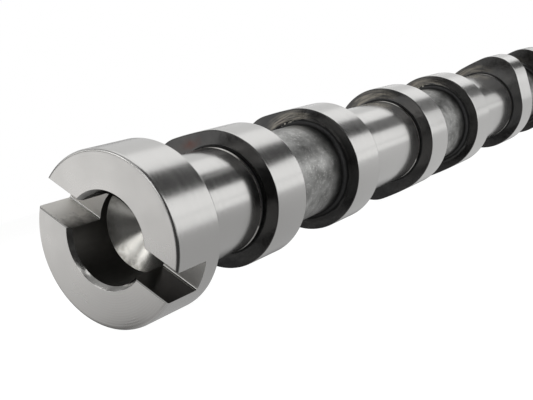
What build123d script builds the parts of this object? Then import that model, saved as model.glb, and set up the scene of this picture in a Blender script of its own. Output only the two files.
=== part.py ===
from build123d import *
from math import cos, radians, sin, sqrt, tan
import os

# Camshaft of a four-cylinder engine with two valves worked per cylinder by this shaft.
# It is cast in one piece, turned and ground. It lies along +X with the centre of its
# drive face at the origin, at the roll in which it comes to rest on a table.
# All sizes are millimetres, all turns are degrees from +Y towards +Z.

# ---- layout along the shaft
cylinders = 4
cylinder_pitch = 80.0
lobe_spacing = 35.65            # from one lobe to the other lobe of the same cylinder
lobe_width = 11.15
first_lobe_x = 35.3
end_journal_length = 22.0

# ---- how the lobes are turned
first_nose_turn = 41.2
nose_steps = (0, -90, 90, 180)  # firing order 1-3-4-2, cylinder 1 next to the drive collar

# ---- cam outline: base circle, two flank arcs and a nose arc
base_radius = 15.1
lift = 3.4
nose_radius = 9.2
flank_radius = 88.0
lobe_edge = 0.25

# ---- bearing journals, and the as-cast stretches between the two lobes of a pair
journal_radius = 11.5
relief_width = 1.1              # groove where a journal runs up to a shoulder
relief_depth = 0.55
cast_radius = 11.2
cast_root = 1.1                 # the casting widens by this much where it meets a lobe

# ---- drive collar
collar_radius = 17.0
collar_length = 12.5
collar_rim = 0.6
collar_back_edge = 0.4
slot_width = 6.5
slot_depth = 8.3
slot_offset = 0.55              # the slot is off centre, so its tongue seats one way round only
slot_turn = 42.5
slot_edge = 0.2
slot_corner = 0.4
bore_radius = 8.75
bore_depth = 10.1
bore_mouth = 0.8
bore_floor_edge = 0.45
bore_point_angle = 120.0

# ---- timing end: thrust flange, sprocket seat, bolt hole and dowel hole
flange_radius = 15.0
flange_width = 7.0
flange_edge = 0.5
seat_radius = 9.5
seat_length = 9.0
seat_edge = 1.0
bolt_drill_radius = 4.25
bolt_hole_depth = 28.0
bolt_hole_mouth = 1.25
drill_point_angle = 118.0
dowel_hole_radius = 2.0
dowel_hole_depth = 5.0
dowel_wall = 0.5                # metal between the dowel hole and the sprocket seat

# ---- places worked out from the sizes above
pair_length = lobe_spacing + lobe_width
pair_starts = [first_lobe_x + i * cylinder_pitch for i in range(cylinders)]
last_lobe_end = pair_starts[-1] + pair_length
flange_x = last_lobe_end + end_journal_length
seat_x = flange_x + flange_width
end_x = seat_x + seat_length
dowel_circle_radius = seat_radius + dowel_wall + dowel_hole_radius


def cone_length(radius, point_angle):
    return radius / tan(radians(point_angle / 2))


# Core of the shaft as one turned outline, all but the lobes
with BuildPart() as camshaft:
    with BuildSketch(Plane.XZ) as core:
        with BuildLine():
            Polyline(
                (0, 0),
                (0, collar_radius - collar_rim),
                (collar_rim, collar_radius),
                (collar_length - collar_back_edge, collar_radius),
                (collar_length, collar_radius - collar_back_edge),
                (collar_length, journal_radius),
            )
            journal_starts = [collar_length] + [start + pair_length for start in pair_starts]
            journal_ends = pair_starts + [flange_x]
            for journal_start, journal_end in zip(journal_starts, journal_ends):
                Polyline(
                    (journal_start, journal_radius),
                    (journal_start, journal_radius - relief_depth),
                    (journal_start + relief_width - relief_depth, journal_radius - relief_depth),
                    (journal_start + relief_width, journal_radius),
                    (journal_end - relief_width, journal_radius),
                    (journal_end - relief_width + relief_depth, journal_radius - relief_depth),
                    (journal_end, journal_radius - relief_depth),
                    (journal_end, journal_radius),
                )
            for start in pair_starts:
                cast_start = start + lobe_width
                cast_end = start + lobe_spacing
                Polyline(
                    (start, journal_radius),
                    (start, cast_radius + cast_root),
                    (cast_start, cast_radius + cast_root),
                    (cast_start + cast_root, cast_radius),
                    (cast_end - cast_root, cast_radius),
                    (cast_end, cast_radius + cast_root),
                    (start + pair_length, cast_radius + cast_root),
                    (start + pair_length, journal_radius),
                )
            Polyline(
                (flange_x, journal_radius),
                (flange_x, flange_radius - flange_edge),
                (flange_x + flange_edge, flange_radius),
                (seat_x - flange_edge, flange_radius),
                (seat_x, flange_radius - flange_edge),
                (seat_x, seat_radius),
                (end_x - seat_edge, seat_radius),
                (end_x, seat_radius - seat_edge),
                (end_x, 0),
                (0, 0),
            )
        make_face()
    revolve(axis=Axis.X)

    # One cam outline, nose towards +X of its own sketch, that every lobe is extruded from
    nose_centre = base_radius + lift - nose_radius
    base_to_flank = flank_radius - base_radius
    nose_to_flank = flank_radius - nose_radius
    flank_x = (base_to_flank**2 - nose_to_flank**2 + nose_centre**2) / (2 * nose_centre)
    flank_y = -sqrt(base_to_flank**2 - flank_x**2)
    base_tangent = Vector(-flank_x, -flank_y) * (base_radius / base_to_flank)
    nose_tangent = Vector(nose_centre, 0) + Vector(nose_centre - flank_x, -flank_y) * (
        nose_radius / nose_to_flank
    )
    chord_middle = (base_tangent + nose_tangent) / 2 - Vector(flank_x, flank_y)
    flank_middle = Vector(flank_x, flank_y) + chord_middle * (flank_radius / chord_middle.length)
    with BuildSketch(mode=Mode.PRIVATE) as cam_outline:
        with BuildLine():
            ThreePointArc(base_tangent, flank_middle, nose_tangent)
            ThreePointArc(nose_tangent, (nose_centre + nose_radius, 0), (nose_tangent.X, -nose_tangent.Y))
            ThreePointArc(
                (nose_tangent.X, -nose_tangent.Y),
                (flank_middle.X, -flank_middle.Y),
                (base_tangent.X, -base_tangent.Y),
            )
            ThreePointArc((base_tangent.X, -base_tangent.Y), (-base_radius, 0), base_tangent)
        make_face()

    # Two lobes for each cylinder, with the ground edges lightly broken
    for start, step in zip(pair_starts, nose_steps):
        for lobe_x in (start, start + lobe_spacing):
            with BuildSketch(Plane.YZ.offset(lobe_x)):
                add(cam_outline.sketch, rotation=first_nose_turn + step)
            extrude(amount=lobe_width)
            for face_x in (lobe_x, lobe_x + lobe_width):
                lobe_faces = camshaft.faces().filter_by(Plane.YZ).filter_by_position(
                    Axis.X, face_x - 0.01, face_x + 0.01
                )
                chamfer(lobe_faces.sort_by(SortBy.AREA)[-1].outer_wire().edges(), length=lobe_edge)

    # Drive slot across the collar
    with BuildSketch(Plane.YZ) as slot:
        with Locations(Rotation(0, 0, slot_turn) * Location((0, slot_offset))):
            Rectangle(2 * collar_radius + 2, slot_width)
    extrude(amount=slot_depth, mode=Mode.SUBTRACT)
    slot_floor = camshaft.faces().filter_by(Plane.YZ).filter_by_position(
        Axis.X, slot_depth - 0.01, slot_depth + 0.01
    )
    fillet(slot_floor.edges().filter_by(GeomType.LINE), radius=slot_corner)

    # Blind bore behind the slot, with its drill point and chamfered mouth
    with BuildSketch(Plane.XZ) as bore:
        with BuildLine():
            Polyline(
                (0, 0),
                (0, bore_radius + bore_mouth),
                (bore_mouth, bore_radius),
                (bore_depth, bore_radius),
                (bore_depth + cone_length(bore_radius, bore_point_angle), 0),
                close=True,
            )
        make_face()
    revolve(axis=Axis.X, mode=Mode.SUBTRACT)
    front_edges = camshaft.edges().filter_by_position(Axis.X, -0.01, 0.01)
    chamfer(front_edges.filter_by(GeomType.LINE), length=slot_edge)
    floor_edges = camshaft.edges().filter_by_position(Axis.X, slot_depth - 0.01, slot_depth + 0.01)
    floor_arcs = floor_edges.filter_by(GeomType.CIRCLE).filter_by(
        lambda edge: abs(edge.radius - bore_radius) < 0.01
    )
    chamfer(floor_arcs, length=bore_floor_edge)

    # Bolt hole and dowel hole for the sprocket
    with BuildSketch(Plane.XZ) as bolt_hole:
        with BuildLine():
            Polyline(
                (end_x, 0),
                (end_x, bolt_drill_radius + bolt_hole_mouth),
                (end_x - bolt_hole_mouth, bolt_drill_radius),
                (end_x - bolt_hole_depth, bolt_drill_radius),
                (end_x - bolt_hole_depth - cone_length(bolt_drill_radius, drill_point_angle), 0),
                close=True,
            )
        make_face()
    revolve(axis=Axis.X, mode=Mode.SUBTRACT)
    dowel_turn = radians(first_nose_turn)
    with BuildSketch(Plane.YZ.offset(seat_x)) as dowel_hole:
        with Locations((dowel_circle_radius * cos(dowel_turn), dowel_circle_radius * sin(dowel_turn))):
            Circle(dowel_hole_radius)
    extrude(amount=-dowel_hole_depth, mode=Mode.SUBTRACT)

os.makedirs("parts", exist_ok=True)
camshaft.part.label = "camshaft"
export_step(camshaft.part, "parts/camshaft.step")
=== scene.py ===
import math

import bmesh
import bpy
from mathutils import Matrix, Vector, noise


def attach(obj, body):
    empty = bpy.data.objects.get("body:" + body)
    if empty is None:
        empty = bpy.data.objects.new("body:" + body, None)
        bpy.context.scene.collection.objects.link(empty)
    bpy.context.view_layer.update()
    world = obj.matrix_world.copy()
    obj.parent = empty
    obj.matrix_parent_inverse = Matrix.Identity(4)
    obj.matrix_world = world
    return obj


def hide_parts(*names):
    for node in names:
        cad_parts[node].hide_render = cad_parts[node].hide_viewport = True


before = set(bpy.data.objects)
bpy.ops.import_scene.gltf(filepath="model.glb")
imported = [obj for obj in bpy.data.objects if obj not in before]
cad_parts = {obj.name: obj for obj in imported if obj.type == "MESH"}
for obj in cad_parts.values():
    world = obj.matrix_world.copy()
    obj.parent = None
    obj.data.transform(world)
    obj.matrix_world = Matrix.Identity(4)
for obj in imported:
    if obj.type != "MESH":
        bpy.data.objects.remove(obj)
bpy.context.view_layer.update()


# ---------------------------------------------------------------------------
# Drive end. The whole shaft is one chilled iron casting, drawn here as one skin, ring
# after ring from the drive end to the timing end. The collar is turned and ground, and
# its blind bore is drilled, with the drill's point at the bottom.

collar_radius, collar_length, collar_rim, collar_back = 17.0, 12.5, 0.6, 0.4
bore_radius, bore_depth, bore_mouth = 8.75, 10.1, 0.8
bore_point_angle = math.radians(60)             # from the drill's axis to its cone
bore_tip = bore_depth + bore_radius / math.tan(bore_point_angle)
mouth_break, mouth_run = 0.03, 0.02             # dulled edge of the countersink: down, and out
tool_feed = 0.5                                 # from ring to ring of the turning tool

turns = 200                     # corners round each ring
hold = 0.05                     # a ring this near an edge keeps the shading beside it true
tip_radius = 0.02               # last ring in a drilled hole, before it is closed to a point


def linear(hex_colour):
    """An sRGB hex colour as the linear colour that a socket takes."""
    channels = (int(hex_colour[i:i + 2], 16) / 255 for i in (1, 3, 5))
    return (*(c / 12.92 if c <= 0.04045 else ((c + 0.055) / 1.055) ** 2.4 for c in channels), 1)


def live(node):
    """The one output that the node's settings leave in use."""
    return next(out for out in node.outputs if out.enabled)


def add(tree, kind, sockets=None, **settings):
    """Adds one node. A socket takes a plain value, an output, or a node with one live output."""
    made = tree.nodes.new("ShaderNode" + kind)
    for name, value in settings.items():
        setattr(made, name, value)
    for name, value in (sockets or {}).items():
        if isinstance(value, bpy.types.Node):
            value = live(value)
        if isinstance(value, bpy.types.NodeSocket):
            tree.links.new(value, made.inputs[name])
        else:
            made.inputs[name].default_value = value
    return made


finishes = []                   # the casting's material slots, in order


def iron(name, colour, roughness, anisotropy=0.0):
    """A bare iron finish. Where it has tool marks, they run round the shaft's axis."""
    material = bpy.data.materials.new(name)
    material.use_nodes = True
    tree = material.node_tree
    shader = tree.nodes["Principled BSDF"]
    shader.inputs["Metallic"].default_value = 1.0
    shader.inputs["Base Color"].default_value = linear(colour)
    shader.inputs["Roughness"].default_value = roughness
    if anisotropy:
        shader.inputs["Anisotropic"].default_value = anisotropy
        round_axis = add(tree, "Tangent", direction_type="RADIAL", axis="X")
        tree.links.new(round_axis.outputs["Tangent"], shader.inputs["Tangent"])
    finishes.append(material)
    return material, tree, shader, add(tree, "TexCoord").outputs["Object"]


def mottle(tree, place, size, low, high, stretch=(1, 1, 1), detail=3.0):
    """A mottled pattern between two values. Its blotches are about size millimetres across."""
    spread = add(tree, "Mapping", {"Vector": place, "Scale": stretch})
    field = add(tree, "TexNoise", {"Vector": spread, "Scale": 1000 / size, "Detail": detail})
    return add(tree, "MapRange", {"Value": field.outputs["Fac"], "From Min": 0.35, "From Max": 0.65,
                                  "To Min": low, "To Max": high})


def off_axis(tree, place):
    """How far a place lies from the shaft's axis, in metres."""
    across = add(tree, "Mapping", {"Vector": place, "Scale": (0, 1, 1)})
    return add(tree, "VectorMath", {0: across}, operation="LENGTH")


def wear(tree, shader, colour=None, roughness=None, height=None, depth=0.0, strength=0.0):
    """Joins a finish's patterns to its shader. The depth of the relief is in millimetres."""
    for pattern, socket in ((colour, "Base Color"), (roughness, "Roughness")):
        if pattern:
            tree.links.new(live(pattern), shader.inputs[socket])
    if height:
        bump = add(tree, "Bump", {"Height": height, "Distance": depth / 1000, "Strength": strength})
        tree.links.new(bump.outputs["Normal"], shader.inputs["Normal"])


# Ground chilled iron. It gives long crisp highlights, drawn out a little across the
# wheel's lines, which run round the shaft. They are drawn four to a millimetre, because
# the real ones are too fine to show.
ground, tree, shader, place = iron("ground_chilled_iron", "#dedddb", 0.2, 0.5)
wear(tree, shader, roughness=mottle(tree, place, 0.25, 0.17, 0.23, (1, 0.01, 0.01), 2.0))

# Turned iron. It is paler and softer, with the tool's rings on it.
turned, tree, shader, place = iron("turned_iron", "#e2e0dd", 0.3, 0.4)
rings = add(tree, "Math", {0: off_axis(tree, place), 1: 2 * math.pi * 1000 / tool_feed},
            operation="MULTIPLY")
wear(tree, shader, roughness=mottle(tree, place, 6.7, 0.27, 0.34),
     height=add(tree, "Math", {0: rings}, operation="SINE"), depth=0.01, strength=0.25)

# Drilled iron. It is dull and oily, so it swallows most light.
drilled, tree, shader, place = iron("drilled_iron", "#6a6968", 0.42)
wear(tree, shader, roughness=mottle(tree, place, 0.8, 0.38, 0.46, (0.2, 1, 1)))

# Point of the bore. The drill leaves rings there that fan the light out in sectors. Over
# the last 2.75 mm towards the wall it is darkened unevenly: painted shade from the wall.
# A Mix node's sockets 0, 6 and 7 are its share and its two colours.
pointed, tree, shader, place = iron("drill_point", "#e6e4de", 0.26, 0.6)
shader.inputs["Anisotropic Rotation"].default_value = 0.25
near_wall = add(tree, "MapRange", {"Value": off_axis(tree, place),
                                   "From Min": (bore_radius - 2.75) / 1000,
                                   "From Max": (bore_radius - hold) / 1000})
# Painted shade: darker towards the wall, in blotches.
painted_wall_shade = add(tree, "Math", {0: near_wall, 1: mottle(tree, place, 1.1, 0.45, 1.0, (0.3, 1, 1))},
             operation="MULTIPLY")
wall_shade_share = add(tree, "MapRange", {"Value": painted_wall_shade, "From Min": 0.1, "From Max": 0.9, "To Max": 0.7})
wear(tree, shader,
     colour=add(tree, "Mix", {0: wall_shade_share, 6: linear("#e6e4de"), 7: linear("#7f7c75")}, data_type="RGBA"))

# Cut edges: plain and bright.
edge_cut, tree, shader, place = iron("cut_edge", "#c9c8c5", 0.13)
wear(tree, shader, roughness=mottle(tree, place, 0.5, 0.11, 0.16))

# Countersinks. The tool rubs there, so they are smeared darker than the other edges.
sunk, tree, shader, place = iron("countersunk_iron", "#b0afad", 0.16)
smears = mottle(tree, place, 2.9, 0.0, 1.0)
wear(tree, shader, roughness=mottle(tree, place, 0.5, 0.14, 0.19),
     colour=add(tree, "Mix", {0: smears, 6: linear("#9b9a98"), 7: linear("#c4c3c0")}, data_type="RGBA"))

bm = bmesh.new()
ring = list(bmesh.ops.create_circle(bm, cap_ends=False, segments=turns, radius=1.0)["verts"])
ring_edges = list(bm.edges)
ring_turns = [math.atan2(v.co.y, v.co.x) for v in ring]         # of its corners, round the shaft


def move_ring(x, radius):
    """Moves the last ring to x. Either size may be plain or follow the turn."""
    for vert, turn in zip(ring, ring_turns):
        r = radius(turn) if callable(radius) else radius
        vert.co = (x(turn, r) if callable(x) else x, r * math.cos(turn), r * math.sin(turn))


def ring_to(x, radius, finish):
    """Draws the skin on from the last ring to a new one at x."""
    global ring, ring_edges
    made = bmesh.ops.extrude_edge_only(bm, edges=ring_edges)["geom"]
    for face in (g for g in made if isinstance(g, bmesh.types.BMFace)):
        face.material_index = finishes.index(finish)
    new = {g for g in made if isinstance(g, bmesh.types.BMVert)}
    ring = [next(e.other_vert(v) for e in v.link_edges if e.other_vert(v) in new) for v in ring]
    ring_edges = [g for g in made
                  if isinstance(g, bmesh.types.BMEdge) and all(v in new for v in g.verts)]
    move_ring(x, radius)


def quarter(steps):
    """A quarter circle in steps: the run along it, from 0 to 1, and the drop left to its crown."""
    angles = [math.radians(90 * step / steps) for step in range(steps + 1)]
    return [(1 - math.cos(a), 1 - math.sin(a)) for a in angles]


# Straight stretches get rings between their ends too, so that no face is long and thin.
move_ring(bore_tip, tip_radius)
point_ring = list(ring)
for radius in (1.5, 4.0, 6.5, bore_radius):
    ring_to(bore_tip - radius / math.tan(bore_point_angle), radius, pointed)
for x in (9.6, 7.0, 4.0, bore_mouth + hold, bore_mouth):
    ring_to(x, bore_radius, drilled)
ring_to(mouth_break, bore_radius + bore_mouth - mouth_break, sunk)
ring_to(0, bore_radius + bore_mouth + mouth_run, turned)
for radius in (11.0, 13.0, 15.0, collar_radius - collar_rim - hold):
    ring_to(0, radius, turned)
for step, (run, drop) in enumerate(quarter(7)):
    ring_to(collar_rim * run, collar_radius - collar_rim * drop, turned if step < 3 else ground)
for x in (collar_rim + hold, 4.0, 8.0, collar_length - collar_back - hold, collar_length - collar_back):
    ring_to(x, collar_radius, ground)
ring_to(collar_length - 0.25 * collar_back, collar_radius - 0.35 * collar_back, ground)
ring_to(collar_length, collar_radius - collar_back, ground)


# ---------------------------------------------------------------------------
# Journals. Each is a ground bearing surface between two shallow reliefs, where the
# grinding wheel runs out. They are cut from the same casting.

journal_radius, relief_width, relief_depth = 11.5, 1.1, 0.55
relief_floor = journal_radius - relief_depth
relief_fillet = 0.25                    # in the corner where a relief meets the side of a lobe
lip_height, lip_reach = 0.16, 0.40      # from its hollow to its crest, and along the journal

# Reliefs and roots: black and matt, painted shade for their dark hollows.
scale, tree, shader, place = iron("root_painted_shade", "#464646", 0.5)
wear(tree, shader, height=mottle(tree, place, 0.7, 0.0, 1.0), depth=0.08, strength=0.6)

# Lip that the wheel rolls up at each end of a journal. It leans away from the lobe, so it
# shows as a thin broken line where the ground surface mirrors the dark side.
edge_break, tree, shader, place = iron("rolled_edge", "#cbc9c5", 0.3)
smears = mottle(tree, place, 5.0, 0.0, 1.0)
wear(tree, shader, roughness=mottle(tree, place, 0.4, 0.26, 0.34),
     colour=add(tree, "Mix", {0: smears, 6: linear("#b4b2ae"), 7: linear("#e2e0dc")}, data_type="RGBA"))


def crest(turn):
    """A ring's radius on top of the lip, which is highest at three places round the journal."""
    return journal_radius + lip_height * (0.35 + 0.15 * math.cos(3 * turn))


def dip(turn):
    """A ring's radius in the hollow behind the lip, which is as deep as the lip is high."""
    return 2 * journal_radius - crest(turn)


def journal(start, end):
    """One journal, from the lobe or collar before it to the next one."""
    first, last = start + relief_width, end - relief_width
    # The reliefs are drawn in black: painted shade.
    ring_to(start + relief_fillet, relief_floor, scale)
    ring_to(first - relief_depth, relief_floor, scale)
    # The lip rises at once and falls slowly. Its rings are placed from the relief's edge.
    for past, radius in ((-0.15, journal_radius), (-0.10, crest),
                         (0.20, dip), (lip_reach, journal_radius)):
        ring_to(first + past, radius, edge_break)
    for i in range(5):
        run = (last - first - 2 * (lip_reach + hold)) * i / 4
        ring_to(first + lip_reach + hold + run, journal_radius, ground)
    ring_to(last - lip_reach, journal_radius, ground)
    ring_to(last - 0.20, dip, ground)
    for past, radius in ((-0.15, dip), (0.10, crest), (0.15, crest)):
        ring_to(last + past, radius, edge_break)
    ring_to(last + 0.20, journal_radius, scale)
    ring_to(last + relief_depth, relief_floor, scale)
    ring_to(end - relief_fillet, relief_floor, scale)


# ---------------------------------------------------------------------------
# Lobes. There are two for each cylinder. Their running faces are ground, and their
# sides keep the casting skin, with a skimmed boss on the side of the cast stretch.

lobe_width, lobe_edge = 11.15, 0.25
base_radius, lift, nose_radius, flank_radius = 15.1, 3.4, 9.2, 88.0
boss_height, boss_radius, boss_slope = 0.08, 12.4, 0.35
side_foot, side_start = 12.0, 13.1      # radii where the side leaves the relief, and turns uneven
cast_radius, root_height = 11.2, 0.75   # the shaft between two lobes, and its fillet at each

# The cam's outline: base circle, flank arc and nose arc, each met along a tangent.
nose_centre = base_radius + lift - nose_radius
base_to_flank = flank_radius - base_radius
nose_to_flank = flank_radius - nose_radius
flank_x = (base_to_flank ** 2 - nose_to_flank ** 2 + nose_centre ** 2) / (2 * nose_centre)
flank_y = -math.sqrt(base_to_flank ** 2 - flank_x ** 2)
base_tangent = math.atan2(-flank_y, -flank_x)
nose_tangent = math.atan2(
    -flank_y * nose_radius / nose_to_flank,
    nose_centre + (nose_centre - flank_x) * nose_radius / nose_to_flank,
)

# Casting skin: dark, fairly smooth and a little uneven. Beside the shaft it is painted
# bright in broken rubbing arcs along the top only, where the light falls: rubbing marks
# with a painted sheen. A breath of rust sits there too. Places are in metres and turns
# round the shaft in radians, as in the other patterns.
skin, tree, shader, place = iron("casting_skin", "#585857", 0.2)
split = add(tree, "SeparateXYZ", {"Vector": place})
out = off_axis(tree, place)
angle = add(tree, "Math", {0: split.outputs["Z"], 1: split.outputs["Y"]}, operation="ARCTAN2")

# Rubbing marks with painted sheen: a band close round the shaft, over the lit top, and only past the
# first lobe.
left_of_top = add(tree, "MapRange", {"Value": angle, "From Min": 1.00, "From Max": 1.20})
right_of_top = add(tree, "MapRange", {"Value": angle, "From Min": 2.30, "From Max": 1.75})
along_top = add(tree, "Math", {0: left_of_top, 1: right_of_top}, operation="MULTIPLY")
off_root = add(tree, "MapRange", {"Value": out, "From Min": 0.0121, "From Max": 0.0125})
off_edge = add(tree, "MapRange", {"Value": out, "From Min": 0.0153, "From Max": 0.0136})
band = add(tree, "Math", {0: off_root, 1: off_edge}, operation="MULTIPLY")
band = add(tree, "Math", {0: band, 1: along_top}, operation="MULTIPLY")
past_first = add(tree, "MapRange", {"Value": split.outputs["X"], "From Min": 0.050, "From Max": 0.052})

# Its strokes follow the turn. They are 0.4 mm across and a third of a radian long.
arcs = add(tree, "CombineXYZ", {"X": out, "Y": angle, "Z": split.outputs["X"]})
strokes = mottle(tree, arcs, 1.0, 0.0, 1.0, (2.6, 0.003, 0.15), 2.0)
rubbing_and_sheen = add(tree, "Math", {0: band, 1: strokes}, operation="MULTIPLY")
rubbing_and_sheen = add(tree, "Math", {0: rubbing_and_sheen, 1: past_first}, operation="MULTIPLY")
rubbing_and_sheen = add(tree, "MapRange", {"Value": rubbing_and_sheen, "From Min": 0.05, "From Max": 0.75, "To Max": 0.6})

# Rust: in the same band, on the far half of the top, and faint past the first lobe.
rust_top = add(tree, "MapRange", {"Value": angle, "From Min": 1.62, "From Max": 1.35})
fainter = add(tree, "MapRange", {"Value": past_first, "To Min": 1.0, "To Max": 0.2})
rust = add(tree, "Math", {0: band, 1: rust_top}, operation="MULTIPLY")
rust = add(tree, "Math", {0: rust, 1: mottle(tree, place, 3.0, 0.0, 1.0)}, operation="MULTIPLY")
rust = add(tree, "Math", {0: rust, 1: fainter}, operation="MULTIPLY")
rust = add(tree, "MapRange", {"Value": rust, "From Min": 0.05, "From Max": 0.7, "To Max": 0.55})

blotches = mottle(tree, place, 7.7, 0.0, 1.0)
grey = add(tree, "Mix", {0: blotches, 6: linear("#525252"), 7: linear("#5e5d5c")}, data_type="RGBA")
# The arcs' pale colour is partly painted sheen, where the top of the side is lit.
arced = add(tree, "Mix", {0: rubbing_and_sheen, 6: grey, 7: linear("#aaa498")}, data_type="RGBA")
wear(tree, shader,
     colour=add(tree, "Mix", {0: rust, 6: arced, 7: linear("#6c463d")}, data_type="RGBA"),
     roughness=mottle(tree, place, 1.3, 0.17, 0.23),
     height=mottle(tree, place, 0.8, 0.0, 1.0), depth=0.03, strength=0.2)

# Skimmed boss round the shaft. The cutter only touched its high spots. They are painted
# bright only along the top and on the far side, where the light falls: a painted highlight
# in a broken ring against the dark boss.
skimmed, tree, shader, place = iron("skimmed_iron", "#b5b1a6", 0.35)
split = add(tree, "SeparateXYZ", {"Vector": place})
# Painted highlight: only the far side and the top of the boss are lit.
lit_side = add(tree, "MapRange", {"Value": split.outputs["Y"], "From Min": -0.005, "From Max": 0.002})
lit_top = add(tree, "MapRange", {"Value": split.outputs["Z"], "From Min": 0.0, "From Max": 0.006})
lit_top_and_side = add(tree, "Math", {0: lit_side, 1: lit_top}, operation="MULTIPLY")
high_spots = mottle(tree, place, 1.4, 0.0, 1.0, (0.2, 1, 1))
lit_high_spots = add(tree, "Math", {0: lit_top_and_side, 1: high_spots}, operation="MULTIPLY")
lit_high_spots = add(tree, "MapRange", {"Value": lit_high_spots, "From Min": 0.35, "From Max": 0.65})
wear(tree, shader,
     colour=add(tree, "Mix", {0: lit_high_spots, 6: linear("#343434"), 7: linear("#c9c5ba")}, data_type="RGBA"),
     roughness=add(tree, "MapRange", {"Value": lit_high_spots, "To Min": 0.5, "To Max": 0.3}))


def out_to_circle(centre_x, centre_y, radius, turn):
    """How far out a circle lies in the direction of turn, seen from the shaft's axis."""
    along = centre_x * math.cos(turn) + centre_y * math.sin(turn)
    return along + math.sqrt(radius ** 2 - centre_x ** 2 - centre_y ** 2 + along ** 2)


def cam_radius(turn):
    """How far out the cam's running face lies, at a turn from its nose."""
    off_nose = abs((turn + math.pi) % (2 * math.pi) - math.pi)
    if off_nose < nose_tangent:
        return out_to_circle(nose_centre, 0, nose_radius, off_nose)
    if off_nose < base_tangent:
        return out_to_circle(flank_x, flank_y, flank_radius, off_nose)
    return base_radius


def lumps(x, turn, radius, size, height):
    """Low lumps of a cast surface, size millimetres across and about height millimetres high."""
    spot = Vector((x, radius * math.cos(turn), radius * math.sin(turn))) / size
    return height * noise.fractal(spot, 0.8, 2.0, 3)        # in three layers, each twice as fine


def lobe(x, nose, boss_in_front):
    """One cam: cast side, ground running face, cast side."""
    end = x + lobe_width

    def outline(inset):
        return lambda turn: cam_radius(turn - nose) - inset

    def on_side(share):
        return lambda turn: side_start + (cam_radius(turn - nose) - lobe_edge - side_start) * share

    def uneven(plane):
        return lambda turn, radius: plane + lumps(plane, turn, radius, 3.0, 0.03)

    def boss_rim(turn):
        return boss_radius + lumps(x, turn, side_foot, 1.6, 0.2)

    def boss_foot(turn):
        return boss_rim(turn) + boss_slope

    # The root and the side's foot by the relief are drawn in black: painted shade.
    if boss_in_front:
        ring_to(x - boss_height, cast_radius + root_height, scale)
        ring_to(x - boss_height, boss_rim, skimmed)
        ring_to(x, boss_foot, skin)
    else:
        ring_to(x, relief_floor + relief_fillet, scale)
        ring_to(x, side_foot, scale)
    for share in (0.0, 0.25, 0.5, 0.75):
        ring_to(uneven(x), on_side(share), skin)
    ring_to(x, outline(lobe_edge + hold), skin)
    for step, (run, drop) in enumerate(quarter(4)):
        ring_to(x + lobe_edge * run, outline(lobe_edge * drop), skin if step < 3 else ground)
    for i in range(4):
        run = (lobe_width - 2 * (lobe_edge + hold)) * i / 3
        ring_to(x + lobe_edge + hold + run, outline(0), ground)
    for drop, run in quarter(4):
        ring_to(end - lobe_edge * run, outline(lobe_edge * drop), ground)
    ring_to(end, outline(lobe_edge + hold), skin)
    for share in (0.75, 0.5, 0.25, 0.0):
        ring_to(uneven(end), on_side(share), skin)
    if boss_in_front:
        ring_to(end, side_foot, skin)
        ring_to(end, relief_floor + relief_fillet, skin)
    else:
        ring_to(end, boss_foot, skin)
        ring_to(end + boss_height, boss_rim, skin)
        ring_to(end + boss_height, cast_radius + root_height, skimmed)


# ---------------------------------------------------------------------------
# Cast stretches. Between the two lobes of a cylinder the shaft is as it left the
# mould, blasted clean, with a filleted root at each lobe.

root_length, root_run = 1.1, 0.3
cylinders, cylinder_pitch, lobe_spacing, first_lobe_x = 4, 80.0, 35.65, 35.3

# Blasted casting: grey and matt with brighter rubbed patches, and painted shade darkens
# it within 6.5 mm of a lobe.
blasted, tree, shader, place = iron("blasted_casting", "#b4b4b2", 0.45)
patches = mottle(tree, place, 3.6, 0.0, 1.0)
worn = add(tree, "Mix", {0: patches, 6: linear("#8f8f8d"), 7: linear("#c6c6c4")}, data_type="RGBA")
specks = mottle(tree, place, 0.55, 0.0, 1.0)
specks = add(tree, "MapRange", {"Value": specks, "From Min": 0.7, "From Max": 1.0, "To Max": 0.45})
flecked = add(tree, "Mix", {0: specks, 6: worn, 7: linear("#ebebe9")}, data_type="RGBA")
split = add(tree, "SeparateXYZ", {"Vector": place})
past_lobe = add(tree, "Math", {0: split.outputs["X"], 1: (first_lobe_x + lobe_width) / 1000},
                operation="SUBTRACT")
past_lobe = add(tree, "Math", {0: past_lobe, 1: cylinder_pitch / 1000}, operation="MODULO")
to_next = add(tree, "Math", {0: (lobe_spacing - lobe_width) / 1000, 1: past_lobe}, operation="SUBTRACT")
to_lobe = add(tree, "Math", {0: past_lobe, 1: to_next}, operation="MINIMUM")
# Painted shade: darker towards each lobe.
painted_lobe_shade = add(tree, "MapRange", {"Value": to_lobe, "From Min": 0.0065, "From Max": 0.0012, "To Max": 0.9})
wear(tree, shader,
     colour=add(tree, "Mix", {0: painted_lobe_shade, 6: flecked, 7: linear("#343434")}, data_type="RGBA"),
     roughness=mottle(tree, place, 2.0, 0.38, 0.5),
     height=mottle(tree, place, 1.3, 0.0, 1.0), depth=0.06, strength=0.35)


def cast_stretch(start, end):
    """The shaft between two lobes, with a root at each."""
    def rough(x):
        return lambda turn: cast_radius + lumps(x, turn, cast_radius, 2.2, 0.05)

    # Its roots are drawn in black: painted shade in the corners.
    for run, drop in quarter(5)[1:]:
        ring_to(start + root_length * run, cast_radius + root_height * drop, scale)
    for i in range(18):
        x = start + root_length + root_run + (end - start - 2 * (root_length + root_run)) * i / 17
        ring_to(x, rough(x), blasted)
    for drop, run in quarter(5):
        ring_to(end - root_length * run, cast_radius + root_height * drop, scale)


# Four cylinders, each with its pair of lobes, and a journal before, between and after.
# The noses are turned for the firing order 1-3-4-2.
nose_turns = [math.radians(a) for a in (41.2, -48.8, 131.2, 221.2)]

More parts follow.
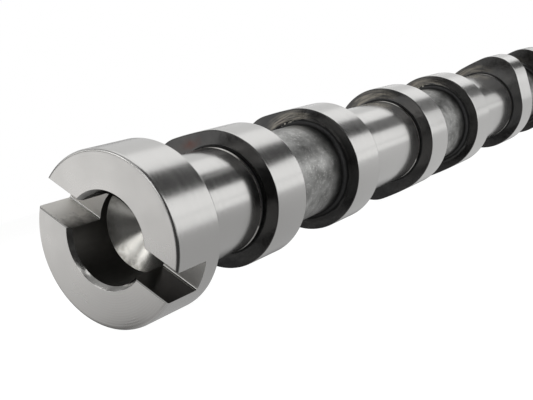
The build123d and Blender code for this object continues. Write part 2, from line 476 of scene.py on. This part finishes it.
# The collar's back keeps its skin, down to the first relief.
for radius in (11.8, relief_floor):
    ring_to(collar_length, radius, skin)
journal_start = collar_length
for number in range(cylinders):
    start = first_lobe_x + number * cylinder_pitch
    journal(journal_start, start)
    lobe(start, nose_turns[number], False)
    cast_stretch(start + lobe_width + boss_height, start + lobe_spacing - boss_height)
    lobe(start + lobe_spacing, nose_turns[number], True)
    journal_start = start + lobe_spacing + lobe_width


# ---------------------------------------------------------------------------
# Timing end. A thrust flange, then the sprocket's seat with its bolt hole, all turned
# on the same casting.

end_journal, flange_length, flange_radius, flange_edge = 22.0, 7.0, 15.0, 0.5
seat_length, seat_radius, seat_edge = 9.0, 9.5, 1.0
bolt_radius, bolt_depth, bolt_mouth = 4.25, 28.0, 1.25
bolt_point_angle = math.radians(59)
flange_x = journal_start + end_journal
seat_x = flange_x + flange_length
end_x = seat_x + seat_length
bolt_tip = end_x - bolt_depth - bolt_radius / math.tan(bolt_point_angle)

journal(journal_start, flange_x)
ring_to(flange_x, relief_floor, turned)
ring_to(flange_x, flange_radius - flange_edge, turned)
ring_to(flange_x + flange_edge, flange_radius, edge_cut)
for x in (flange_x + flange_edge + hold, seat_x - flange_edge - hold, seat_x - flange_edge):
    ring_to(x, flange_radius, ground)
ring_to(seat_x, flange_radius - flange_edge, edge_cut)
ring_to(seat_x, seat_radius, turned)
for x in (seat_x + hold, end_x - seat_edge - hold, end_x - seat_edge):
    ring_to(x, seat_radius, ground)
ring_to(end_x, seat_radius - seat_edge, edge_cut)
ring_to(end_x, bolt_radius + bolt_mouth, turned)
ring_to(end_x - bolt_mouth, bolt_radius, sunk)
for x in (end_x - bolt_mouth - hold, end_x - bolt_depth / 2, end_x - bolt_depth):
    ring_to(x, bolt_radius, drilled)
ring_to(bolt_tip, tip_radius, drilled)
bmesh.ops.pointmerge(bm, verts=ring, merge_co=(bolt_tip, 0, 0))
bmesh.ops.pointmerge(bm, verts=point_ring, merge_co=(bore_tip, 0, 0))
bmesh.ops.recalc_face_normals(bm, faces=bm.faces)

# The rings are joined in an order of chance, so edges and faces are put in the order of
# their corners, and the mesh is the same in each run.
bm.verts.index_update()
for parts in (bm.edges, bm.faces):
    for number, part in enumerate(sorted(parts, key=lambda p: sorted(v.index for v in p.verts))):
        part.index = number
    parts.sort()


def as_object(source, name, materials):
    """Turns a bmesh in millimetres into an object in metres."""
    bmesh.ops.scale(source, vec=(0.001, 0.001, 0.001), verts=source.verts)
    mesh = bpy.data.meshes.new(name)
    source.to_mesh(mesh)
    source.free()
    for material in materials:
        mesh.materials.append(material)
    made = bpy.data.objects.new(name, mesh)
    bpy.context.scene.collection.objects.link(made)
    return made


casting = as_object(bm, "camshaft_casting", finishes)


# ---------------------------------------------------------------------------
# Drive slot and dowel hole. The slot is milled straight across the collar, off centre
# by half a millimetre, and the dowel's hole is drilled in the flange's timing face.

slot_width, slot_depth, slot_offset, slot_turn = 6.5, 8.3, 0.55, math.radians(42.5)
slot_edge, slot_corner = 0.2, 0.4
overrun = 1.0                   # the flare at the slot's edges runs out past the collar by this
dowel_radius, dowel_depth, dowel_circle = 2.0, 5.0, 12.0
sharp_from = math.radians(28)   # edges that turn by more are shaded as sharp

# Milled iron. The slot's walls are dull and stained, and torn bright at one outer end.
milled, tree, shader, place = iron("milled_iron", "#8a8987", 0.30)
split = add(tree, "SeparateXYZ", {"Vector": place})
outer_end = add(tree, "MapRange", {"Value": split.outputs["Y"], "From Min": 0.0074, "From Max": 0.0118})
torn = add(tree, "Math", {0: outer_end, 1: mottle(tree, place, 1.6, 0.6, 1.0)}, operation="MULTIPLY")
torn = add(tree, "MapRange", {"Value": torn, "From Min": 0.1, "From Max": 0.6})
wear(tree, shader,
     colour=add(tree, "Mix", {0: torn, 6: linear("#4e4d4c"), 7: linear("#edebe7")}, data_type="RGBA"),
     roughness=add(tree, "MapRange", {"Value": torn, "To Min": 0.28, "To Max": 0.64}))

# The floor is cleaner, and the cutter's marks scatter the light widely.
slot_floor, tree, shader, place = iron("milled_floor", "#e8e6e2", 0.55)
wear(tree, shader, roughness=mottle(tree, place, 0.6, 0.50, 0.58),
     height=mottle(tree, place, 0.5, 0.0, 1.0), depth=0.02, strength=0.4)

# The slot's cutter has rounded corners along the floor and flares at the broken mouth.
slot = bmesh.new()
bmesh.ops.create_cube(slot, size=1.0)
bmesh.ops.scale(slot, verts=slot.verts,
                vec=(slot_depth - slot_edge, 2 * (collar_radius + 3), slot_width))
bmesh.ops.translate(slot, vec=((slot_depth + slot_edge) / 2, 0, slot_offset), verts=slot.verts)
mouth = [f for f in slot.faces if f.normal.x < -0.5]
flare = bmesh.ops.extrude_face_region(slot, geom=mouth)["geom"]
bmesh.ops.delete(slot, geom=mouth, context="FACES_ONLY")
for vert in (g for g in flare if isinstance(g, bmesh.types.BMVert)):
    vert.co.x -= overrun
    vert.co.z += math.copysign(overrun, vert.co.z - slot_offset)
on_floor = [e for e in slot.edges if all(v.co.x > slot_depth - 0.01 for v in e.verts)]
along_floor = [e for e in on_floor if abs(e.verts[0].co.y - e.verts[1].co.y) > 1]
bmesh.ops.bevel(slot, geom=along_floor, offset=slot_corner, offset_type="OFFSET", segments=5,
                profile=0.5, affect="EDGES", material=-1)
bmesh.ops.recalc_face_normals(slot, faces=slot.faces)
for face in slot.faces:
    rounded = 0.05 < face.normal.x < 0.98
    if rounded or face.calc_center_median().x < slot_edge:
        face.material_index = 2         # cut edges
    else:
        face.material_index = 1 if face.normal.x > 0.5 else 0       # floor, walls
bmesh.ops.rotate(slot, cent=(0, 0, 0), matrix=Matrix.Rotation(slot_turn, 3, "X"), verts=slot.verts)

dowel = bmesh.new()
bmesh.ops.create_cone(dowel, cap_ends=True, segments=48, depth=2 * dowel_depth,
                      radius1=dowel_radius, radius2=dowel_radius)
bmesh.ops.rotate(dowel, cent=(0, 0, 0), matrix=Matrix.Rotation(math.radians(90), 3, "Y"),
                 verts=dowel.verts)
bmesh.ops.translate(dowel, verts=dowel.verts,
                    vec=(seat_x, dowel_circle * math.cos(nose_turns[0]),
                         dowel_circle * math.sin(nose_turns[0])))

cutters = (as_object(slot, "slot_cutter", [milled, slot_floor, edge_cut]),
           as_object(dowel, "dowel_cutter", [drilled]))
for cutter in cutters:
    cut = casting.modifiers.new(cutter.name, "BOOLEAN")
    cut.object = cutter
    cut.operation = "DIFFERENCE"
    cut.solver = "EXACT"
    cut.material_mode = "TRANSFER"
bpy.context.view_layer.update()
finished = bpy.data.meshes.new_from_object(casting.evaluated_get(bpy.context.evaluated_depsgraph_get()))
casting.modifiers.clear()
casting.data = finished
for cutter in cutters:
    bpy.data.objects.remove(cutter)

bm = bmesh.new()
bm.from_mesh(finished)
bmesh.ops.remove_doubles(bm, verts=bm.verts, dist=1e-6)
for face in bm.faces:
    face.smooth = True
for edge in bm.edges:
    edge.smooth = edge.is_manifold and edge.calc_face_angle() < sharp_from
bm.to_mesh(finished)
bm.free()

# The widest faces lead the shading, so that flat faces look flat up to their edges.
flats = casting.modifiers.new("true_flats", "WEIGHTED_NORMAL")
flats.keep_sharp = True
flats.weight = 60
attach(casting, "root")
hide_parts("camshaft")


# ---------------------------------------------------------------------------
# Studio. The shaft lies on a sheet of white paper, among softboxes beside it, over it
# and in front of its drive end. The camera sees the paper as plain white, and the metal
# mirrors it greyer, with the shaft's shadow on it.

bpy.ops.mesh.primitive_plane_add(size=6, location=(0, 0, -collar_radius / 1000))
floor = bpy.context.object
floor.name = "paper_floor"
paper = bpy.data.materials.new("white_paper")
paper.use_nodes = True
tree = paper.node_tree
sheet = tree.nodes["Principled BSDF"]
sheet.inputs["Base Color"].default_value = linear("#ededed")
sheet.inputs["Roughness"].default_value = 0.9
rays = add(tree, "LightPath")
place = add(tree, "TexCoord").outputs["Object"]
split = add(tree, "SeparateXYZ", {"Vector": place})

# The paper grows brighter away from the drive end, and a little along the shaft.
away = add(tree, "MapRange", {"Value": split.outputs["X"], "From Min": -0.005, "From Max": -0.30,
                              "To Min": 0.42, "To Max": 0.95})
along = add(tree, "MapRange", {"Value": split.outputs["X"], "From Min": 0.05, "From Max": 0.14,
                               "To Min": 0.93, "To Max": 1.3})

# It is almost dark between the drive end and the camera.
slanted = add(tree, "VectorMath", {0: place, 1: (1.3, 1.0, 0.0)}, operation="DOT_PRODUCT")
ahead = add(tree, "MapRange", {"Value": slanted, "From Min": -0.014, "From Max": -0.026})
near_side = add(tree, "MapRange", {"Value": split.outputs["Y"], "From Min": 0.015, "From Max": 0.005})
dim = add(tree, "Math", {0: ahead, 1: near_side}, operation="MULTIPLY")
dim = add(tree, "MapRange", {"Value": dim, "To Min": 1.0, "To Max": 0.1})

# The shaft's shadow lies under it and on its far side.
under = add(tree, "MapRange", {"Value": split.outputs["Y"], "From Min": -0.004, "From Max": 0.002})
beyond = add(tree, "MapRange", {"Value": split.outputs["Y"], "From Min": 0.110, "From Max": 0.070})
beside = add(tree, "MapRange", {"Value": split.outputs["X"], "From Min": -0.012, "From Max": -0.003})
shadow = add(tree, "Math", {0: under, 1: beyond}, operation="MULTIPLY")
shadow = add(tree, "Math", {0: shadow, 1: beside}, operation="MULTIPLY")
shadow = add(tree, "MapRange", {"Value": shadow, "To Min": 1.0, "To Max": 0.45})

lit = add(tree, "Math", {0: away, 1: dim}, operation="MULTIPLY")
lit = add(tree, "Math", {0: lit, 1: shadow}, operation="MULTIPLY")
lit = add(tree, "Math", {0: lit, 1: along}, operation="MULTIPLY")
in_metal = add(tree, "Emission", {"Strength": lit})
either = add(tree, "Math", {0: rays.outputs["Is Glossy Ray"], 1: rays.outputs["Is Transmission Ray"]},
             operation="MAXIMUM")
reflected = add(tree, "MixShader", {0: either, 1: sheet, 2: in_metal})

# To the camera it glows almost white, with hardly a shadow.
shade = add(tree, "BsdfDiffuse", {"Color": linear("#7a7a7a")})
bright = add(tree, "Emission", {"Strength": 0.97})
white = add(tree, "AddShader", {0: shade, 1: bright})
seen = add(tree, "MixShader", {0: rays.outputs["Is Camera Ray"], 1: reflected, 2: white})
tree.links.new(seen.outputs["Shader"], tree.nodes["Material Output"].inputs["Surface"])
floor.data.materials.append(paper)


def softbox(name, centre, width, height, radiance, facing=None):
    """A rectangular softbox, its width level, aimed at the drive end if facing isn't given."""
    data = bpy.data.lights.new(name, "AREA")
    data.shape = "RECTANGLE"
    data.size, data.size_y = width, height
    data.energy = radiance * math.pi * width * height
    made = bpy.data.objects.new(name, data)
    bpy.context.scene.collection.objects.link(made)
    back = -Vector(facing) if facing else Vector(centre).normalized()
    side = Vector((0, 0, 1)).cross(back)
    side = side.normalized() if side.length > 0.01 else Vector((1, 0, 0))
    over = back.cross(side)
    made.matrix_world = Matrix((
        (side.x, over.x, back.x, centre[0]),
        (side.y, over.y, back.y, centre[1]),
        (side.z, over.z, back.z, centre[2]),
        (0, 0, 0, 1)))
    made.visible_camera = False


# Beside the shaft: a low strip in three lengths, dimmer towards the timing end, its foot
# down to the paper, and a faint fill for the far lobes. Each runs from its start to its
# end along the shaft, and from its bottom to its top, in metres.
side_y = -0.065
for name, start, end, bottom, top, radiance in (
        ("side_strip_near", 0.0, 0.125, 0.002, 0.030, 0.90),
        ("side_strip", 0.125, 0.228, 0.002, 0.036, 0.88),
        ("side_strip_far", 0.228, 0.710, 0.002, 0.037, 0.66),
        ("side_foot", 0.0, 0.228, -0.017, 0.002, 0.41),
        ("side_foot_far", 0.228, 0.710, -0.017, 0.002, 0.28),
        ("side_fill", 0.235, 0.365, 0.040, 0.100, 0.12)):
    softbox(name, ((start + end) / 2, side_y, (bottom + top) / 2), end - start, top - bottom,
            radiance, (0, 1, 0))

# Over the shaft: a large one with a brighter edge on the camera's side, a small lip past
# that edge, and a dimmer one over the drive end.
softbox("overhead", (0.62, 0.155, 0.20), 1.2, 0.49, 0.60, (0, 0, -1))
softbox("overhead_edge", (0.62, -0.020, 0.198), 1.2, 0.14, 0.30, (0, 0, -1))
softbox("overhead_lip", (0.32, -0.120, 0.198), 0.05, 0.06, 0.24, (0, 0, -1))
softbox("overhead_front", (-0.115, 0.155, 0.20), 0.27, 0.49, 0.35, (0, 0, -1))

# In front of the drive end: a wide one for its face, a higher one for the drill's point,
# one from the left, and a small one that makes the countersink gleam.
softbox("front", (-0.732, 0.013, 0.323), 0.70, 0.25, 1.20)
softbox("front_high", (-0.534, 0.227, 0.551), 0.25, 0.15, 1.95)
softbox("front_left", (-0.390, 0.537, 0.447), 0.36, 0.20, 0.80)
softbox("gleam", (-0.533, -0.283, 0.525), 0.15, 0.15, 1.60)

# Around it all the room is dim, and lighter low down on the far side. The camera sees
# plain white.
world = bpy.data.worlds.new("studio")
world.use_nodes = True
tree = world.node_tree
rays = add(tree, "LightPath")
split = add(tree, "SeparateXYZ", {"Vector": add(tree, "TexCoord").outputs["Generated"]})
behind = add(tree, "MapRange", {"Value": split.outputs["Y"], "From Min": 0.1, "From Max": 0.5})
low = add(tree, "MapRange", {"Value": split.outputs["Z"], "From Min": 0.30, "From Max": 0.10})
horizon = add(tree, "Math", {0: behind, 1: low}, operation="MULTIPLY")
level = add(tree, "MapRange", {"Value": horizon, "To Min": 0.05, "To Max": 0.88})
seen = add(tree, "Mix", {"Factor": rays.outputs["Is Camera Ray"], "A": level, "B": 1.0},
           data_type="FLOAT")
tree.links.new(seen.outputs["Result"], tree.nodes["Background"].inputs["Strength"])
tree.nodes["Background"].inputs["Color"].default_value = (1, 1, 1, 1)
bpy.context.scene.world = world

# The camera stands low beside the drive end and looks along the shaft. Its place and
# axes are those for a first nose at 30 degrees, and they roll with the shaft to where it
# comes to rest.
roll = Matrix.Rotation(math.radians(11.2), 3, "X")
camera_place = roll @ Vector((-0.1138, -0.1142, 0.0321))
forward, right, up = (roll @ Vector(v) for v in (
    (0.8126, 0.5560, -0.1750), (0.5435, -0.8312, -0.1170), (0.2105, 0.0, 0.9776)))
camera_data = bpy.data.cameras.new("camera")
camera_data.lens = 60.36
camera_data.sensor_width = 36
camera_data.clip_start = 0.01
camera = bpy.data.objects.new("camera", camera_data)
bpy.context.scene.collection.objects.link(camera)
camera.matrix_world = Matrix((
    (right.x, up.x, -forward.x, camera_place.x),
    (right.y, up.y, -forward.y, camera_place.y),
    (right.z, up.z, -forward.z, camera_place.z),
    (0, 0, 0, 1)))
bpy.context.scene.camera = camera
bpy.context.scene.view_settings.view_transform = "Standard"
